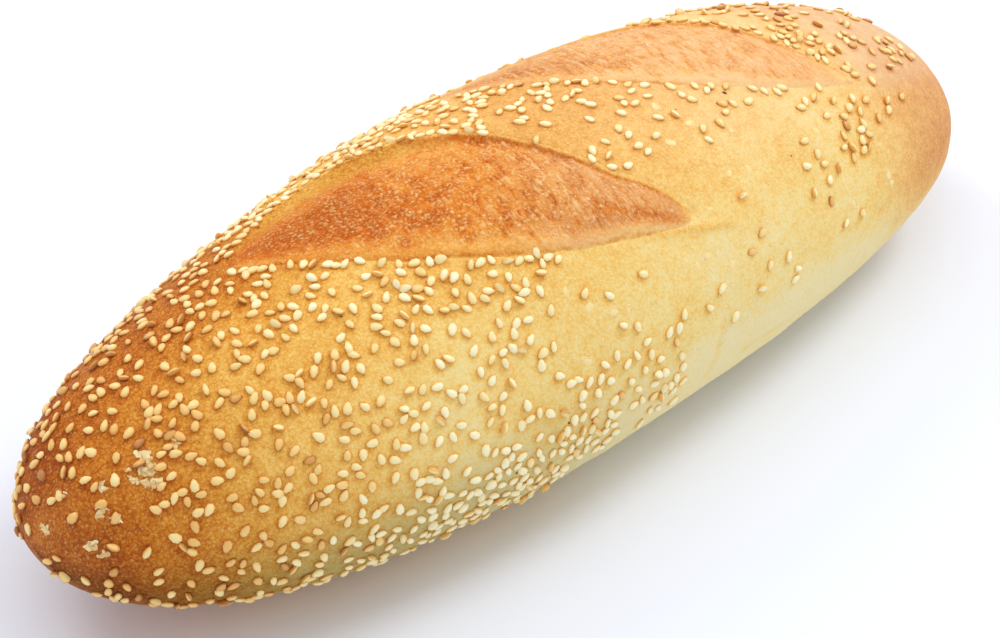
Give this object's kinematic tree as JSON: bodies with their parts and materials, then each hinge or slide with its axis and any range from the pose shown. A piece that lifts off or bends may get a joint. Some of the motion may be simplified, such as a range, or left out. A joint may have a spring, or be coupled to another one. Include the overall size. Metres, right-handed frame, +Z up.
{
  "type": "sesame-seeded white bread loaf",
  "caption": "Torpedo-shaped white bread loaf with a flat base, a golden crust, slanting slashes opened across the crown and sesame seeds baked onto the sides.",
  "frame": {"origin": "middle of the loaf's outline, on the surface that it rests on", "axes": "+X along the loaf towards its less seeded end, +Y across it, +Z up"},
  "size_m": [0.29, 0.1071, 0.0786],
  "materials": {
    "crust": "golden baked crust, satin, paler on the flanks and browner in the slashes, with cream sesame seeds"
  },
  "bodies": {
    "root": {"loaf": "crust"}
  },
  "joints": []
}
